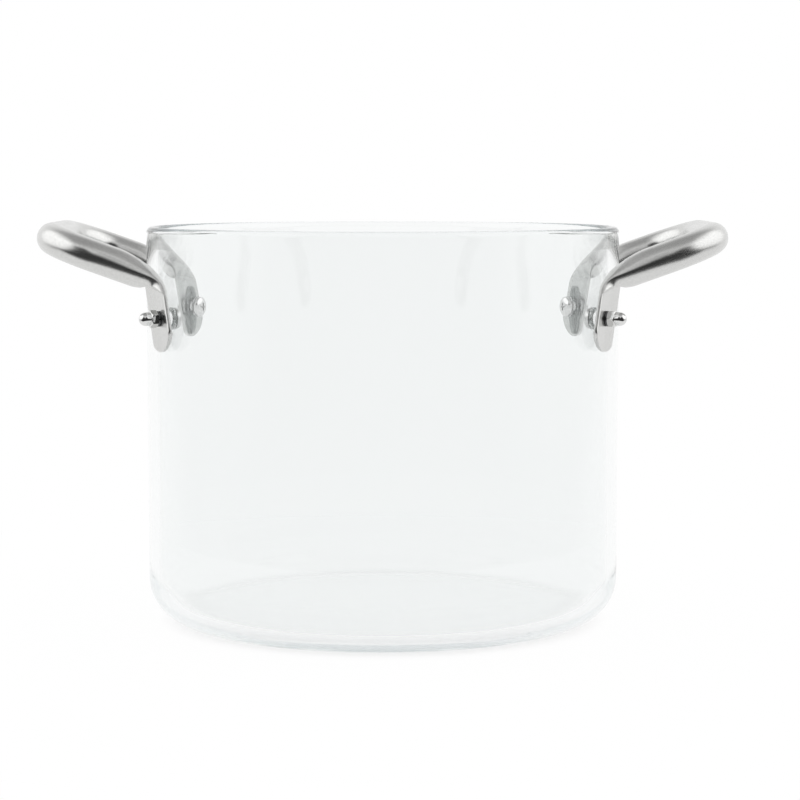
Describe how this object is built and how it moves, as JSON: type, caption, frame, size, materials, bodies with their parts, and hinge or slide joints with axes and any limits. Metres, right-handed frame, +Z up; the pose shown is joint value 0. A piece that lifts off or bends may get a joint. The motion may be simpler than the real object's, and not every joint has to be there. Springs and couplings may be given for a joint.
{
  "type": "glass cooking pot",
  "caption": "Clear straight-walled glass cooking pot with a rounded base corner and bow handles of bent steel tube, bolted through the wall.",
  "frame": {"origin": "middle of the base, on the surface that the pot stands on", "axes": "+Z up along the vessel's axis, the handles along +X and -X, the front towards -Y"},
  "size_m": [0.3164, 0.22, 0.1863],
  "materials": {
    "glass": "clear heat-proof glass with a fire-polished rim",
    "handle_steel": "satin stainless steel, brushed along the tube",
    "bolt_steel": "polished stainless steel",
    "spring_steel": "dark spring steel",
    "silicone": "translucent heat-proof silicone"
  },
  "bodies": {
    "root": {"glass_vessel": "glass", "right_handle": "handle_steel", "left_handle": "handle_steel", "right_front_screw": "bolt_steel", "right_front_seal_washer": "silicone", "right_front_bush": "silicone", "right_front_spring_washer": "spring_steel", "right_front_cap_nut": "bolt_steel", "right_back_screw": "bolt_steel", "right_back_seal_washer": "silicone", "right_back_bush": "silicone", "right_back_spring_washer": "spring_steel", "right_back_cap_nut": "bolt_steel", "left_front_screw": "bolt_steel", "left_front_seal_washer": "silicone", "left_front_bush": "silicone", "left_front_spring_washer": "spring_steel", "left_front_cap_nut": "bolt_steel", "left_back_screw": "bolt_steel", "left_back_seal_washer": "silicone", "left_back_bush": "silicone", "left_back_spring_washer": "spring_steel", "left_back_cap_nut": "bolt_steel"}
  },
  "joints": []
}
